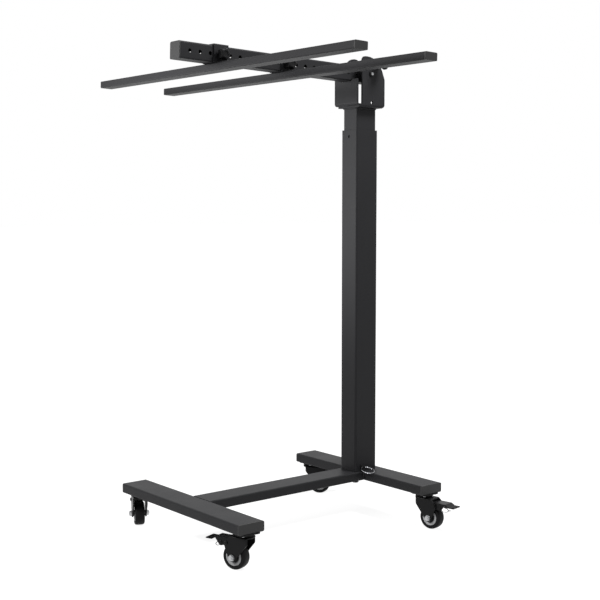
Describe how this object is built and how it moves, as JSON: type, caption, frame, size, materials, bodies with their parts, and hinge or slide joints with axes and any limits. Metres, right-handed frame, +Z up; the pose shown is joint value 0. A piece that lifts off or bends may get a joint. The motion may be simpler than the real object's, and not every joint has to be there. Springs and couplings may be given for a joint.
{
  "type": "light stand",
  "caption": "Rolling light stand: H-shaped base on braked castors, telescopic square column, and a tilting drilled arm that carries sliding fixture bars on saddle clamps.",
  "frame": {"origin": "middle of the bounding box, on the floor", "axes": "+Z up, +X along the fixture bars to the knobs' side, the arm points towards -Y"},
  "size_m": [0.864, 0.587, 1.0055],
  "materials": {
    "powder_coat": "fine-textured satin black powder coat on steel tube and sheet",
    "black_plastic": "moulded, slightly grained",
    "black_steel": "smooth black electro-coat on pressed steel",
    "zinc": "bright zinc plate",
    "chrome_wire": "polished wire",
    "rim_plastic": "light grey moulded nylon",
    "tread": "plain black tread, slightly dusty",
    "bush_plastic": "dark moulded bush"
  },
  "bodies": {
    "base": {"front_crossbar": "powder_coat", "rear_crossbar": "powder_coat", "centre_beam": "powder_coat", "front_left_base_cap": "black_plastic", "front_right_base_cap": "black_plastic", "rear_left_base_cap": "black_plastic", "rear_right_base_cap": "black_plastic", "column_foot": "black_steel", "foot_bolt_left": "black_steel", "foot_bolt_right": "black_steel", "outer_column": "powder_coat", "guide_collar": "bush_plastic", "height_lock_screw": "black_steel", "front_left_plate": "black_steel", "front_right_plate": "black_steel", "rear_left_plate": "black_steel", "rear_right_plate": "black_steel"},
    "lock_pin": {"lock_pin": "zinc"},
    "pull_ring": {"pull_ring": "chrome_wire"},
    "mast": {"inner_column": "powder_coat", "lower_glide": "bush_plastic", "tilt_bracket": "powder_coat", "pivot_pin": "zinc", "arm_spacer": "black_plastic", "clamp_bolt": "black_steel"},
    "tilt_knob": {"tilt_knob": "black_plastic"},
    "arm": {"arm": "powder_coat", "arm_cap": "black_plastic"},
    "front_clamp": {"front_clamp": "powder_coat", "front_bar": "powder_coat", "front_bar_left_cap": "black_plastic", "front_bar_right_cap": "black_plastic"},
    "front_clamp_knob": {"front_clamp_knob": "black_plastic"},
    "rear_clamp": {"rear_clamp": "powder_coat", "rear_bar": "powder_coat", "rear_bar_left_cap": "black_plastic", "rear_bar_right_cap": "black_plastic"},
    "rear_clamp_knob": {"rear_clamp_knob": "black_plastic"},
    "front_left_swivel": {"front_left_fork": "black_steel", "front_left_axle": "zinc"},
    "front_left_wheel": {"front_left_wheel": "rim_plastic", "front_left_tyre": "tread"},
    "front_left_pedal": {"front_left_pedal": "black_steel"},
    "front_right_swivel": {"front_right_fork": "black_steel", "front_right_axle": "zinc"},
    "front_right_wheel": {"front_right_wheel": "rim_plastic", "front_right_tyre": "tread"},
    "front_right_pedal": {"front_right_pedal": "black_steel"},
    "rear_left_swivel": {"rear_left_fork": "black_steel", "rear_left_axle": "zinc"},
    "rear_left_wheel": {"rear_left_wheel": "rim_plastic", "rear_left_tyre": "tread"},
    "rear_left_pedal": {"rear_left_pedal": "black_steel"},
    "rear_right_swivel": {"rear_right_fork": "black_steel", "rear_right_axle": "zinc"},
    "rear_right_wheel": {"rear_right_wheel": "rim_plastic", "rear_right_tyre": "tread"},
    "rear_right_pedal": {"rear_right_pedal": "black_steel"}
  },
  "joints": [
    {"name": "height", "type": "slide", "parent": "base", "child": "mast", "axis": [0, 0, 1], "range_m": [-0.043, 0.3]},
    {"name": "arm_tilt", "type": "hinge", "parent": "mast", "child": "arm", "pos_m": [0, 0.20166, 0.9687], "axis": [-1, 0, 0], "range_deg": [0, 70]},
    {"name": "tilt_knob_turn", "type": "hinge", "parent": "mast", "child": "tilt_knob", "pos_m": [0.0375, 0.21766, 0.9899], "axis": [1, 0, 0], "range_deg": [0, 720]},
    {"name": "front_clamp_slide", "type": "slide", "parent": "arm", "child": "front_clamp", "axis": [0, -0.9995, 0.0332], "range_m": [-0.048, 0.072]},
    {"name": "front_knob_turn", "type": "hinge", "parent": "front_clamp", "child": "front_clamp_knob", "pos_m": [0.0173, -0.18213, 0.98143], "axis": [1, 0, 0], "range_deg": [0, 720]},
    {"name": "rear_clamp_slide", "type": "slide", "parent": "arm", "child": "rear_clamp", "axis": [0, -0.9995, 0.0332], "range_m": [-0.12, 0.048]},
    {"name": "rear_knob_turn", "type": "hinge", "parent": "rear_clamp", "child": "rear_clamp_knob", "pos_m": [0.0173, -0.01422, 0.97586], "axis": [1, 0, 0], "range_deg": [0, 720]},
    {"name": "lock_pin_pull", "type": "slide", "parent": "base", "child": "lock_pin", "axis": [1, 0, 0], "range_m": [0, 0.01], "stiffness_N_per_m": 300, "springref_m": -0.01},
    {"name": "ring_swing", "type": "hinge", "parent": "lock_pin", "child": "pull_ring", "pos_m": [0.0321, 0.18866, 0.105], "axis": [0, -1, 0], "range_deg": [0, 100]},
    {"name": "front_left_swivel", "type": "hinge", "parent": "base", "child": "front_left_swivel", "pos_m": [-0.19, -0.25334, 0], "axis": [0, 0, 1], "continuous": true},
    {"name": "front_left_roll", "type": "hinge", "parent": "front_left_swivel", "child": "front_left_wheel", "pos_m": [-0.20798, -0.24457, 0.025], "axis": [-0.4384, -0.8988, 0], "continuous": true},
    {"name": "front_left_brake", "type": "hinge", "parent": "front_left_swivel", "child": "front_left_pedal", "pos_m": [-0.21966, -0.23887, 0.0525], "axis": [-0.4384, -0.8988, 0], "range_deg": [0, 12]},
    {"name": "front_right_swivel", "type": "hinge", "parent": "base", "child": "front_right_swivel", "pos_m": [0.19, -0.25334, 0], "axis": [0, 0, 1], "continuous": true},
    {"name": "front_right_roll", "type": "hinge", "parent": "front_right_swivel", "child": "front_right_wheel", "pos_m": [0.17121, -0.26018, 0.025], "axis": [0.342, -0.9397, 0], "continuous": true},
    {"name": "front_right_brake", "type": "hinge", "parent": "front_right_swivel", "child": "front_right_pedal", "pos_m": [0.15899, -0.26462, 0.0525], "axis": [0.342, -0.9397, 0], "range_deg": [0, 12]},
    {"name": "rear_left_swivel", "type": "hinge", "parent": "base", "child": "rear_left_swivel", "pos_m": [-0.19, 0.22166, 0], "axis": [0, 0, 1], "continuous": true},
    {"name": "rear_left_roll", "type": "hinge", "parent": "rear_left_swivel", "child": "rear_left_wheel", "pos_m": [-0.17741, 0.2372, 0.025], "axis": [-0.7771, 0.6293, 0], "continuous": true},
    {"name": "rear_left_brake", "type": "hinge", "parent": "rear_left_swivel", "child": "rear_left_pedal", "pos_m": [-0.16923, 0.24731, 0.0525], "axis": [-0.7771, 0.6293, 0], "range_deg": [0, 12]},
    {"name": "rear_right_swivel", "type": "hinge", "parent": "base", "child": "rear_right_swivel", "pos_m": [0.19, 0.22166, 0], "axis": [0, 0, 1], "continuous": true},
    {"name": "rear_right_roll", "type": "hinge", "parent": "rear_right_swivel", "child": "rear_right_wheel", "pos_m": [0.2097, 0.22514, 0.025], "axis": [-0.1736, 0.9848, 0], "continuous": true},
    {"name": "rear_right_brake", "type": "hinge", "parent": "rear_right_swivel", "child": "rear_right_pedal", "pos_m": [0.2225, 0.22739, 0.0525], "axis": [-0.1736, 0.9848, 0], "range_deg": [0, 12]}
  ]
}
